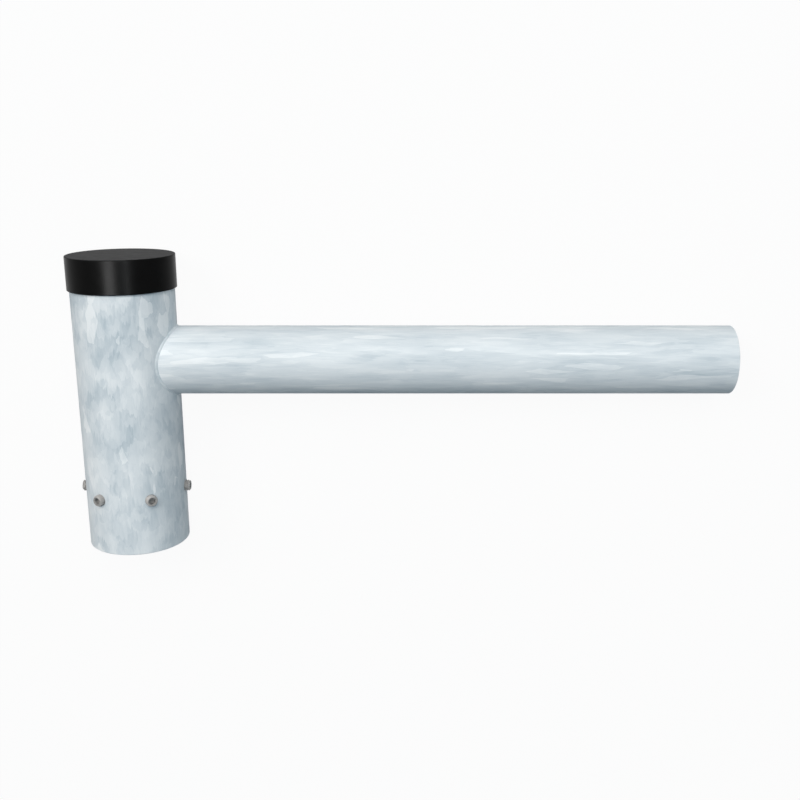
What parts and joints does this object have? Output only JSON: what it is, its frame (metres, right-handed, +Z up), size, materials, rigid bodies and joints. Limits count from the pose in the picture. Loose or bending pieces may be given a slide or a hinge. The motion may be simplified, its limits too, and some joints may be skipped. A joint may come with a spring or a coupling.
{
  "type": "lighting column bracket",
  "caption": "Galvanised lighting column bracket: a capped sleeve that fits over a column top and is held by grub screws, with one straight welded outreach arm for a lantern.",
  "frame": {"origin": "centre of the sleeve's open mouth, on the sleeve's axis", "axes": "The bracket lies on its side. +Y runs along the sleeve's axis from the open mouth to the capped end. +X is level and points along the arm towards its open end. The arm itself slopes 1.755 degrees below +X, so that its open end rests on the floor as the sleeve's cap does. +Z is up, out of the side that the picture's camera sees."},
  "size_m": [0.5824, 0.261, 0.0928],
  "materials": {
    "galvanised_steel": "hot-dip galvanised, with a soft spangle of overlapping blue-grey and near-white flakes",
    "black_plastic": "moulded black plastic, satin to glossy",
    "screw_steel": "plain stainless steel, slightly warm grey"
  },
  "bodies": {
    "root": {"column_sleeve": "galvanised_steel", "outreach_arm": "galvanised_steel", "saddle_weld": "galvanised_steel", "top_cap": "black_plastic", "grub_screw_1": "screw_steel", "grub_screw_2": "screw_steel", "grub_screw_3": "screw_steel", "grub_screw_4": "screw_steel", "grub_screw_5": "screw_steel", "grub_screw_6": "screw_steel"}
  },
  "joints": []
}
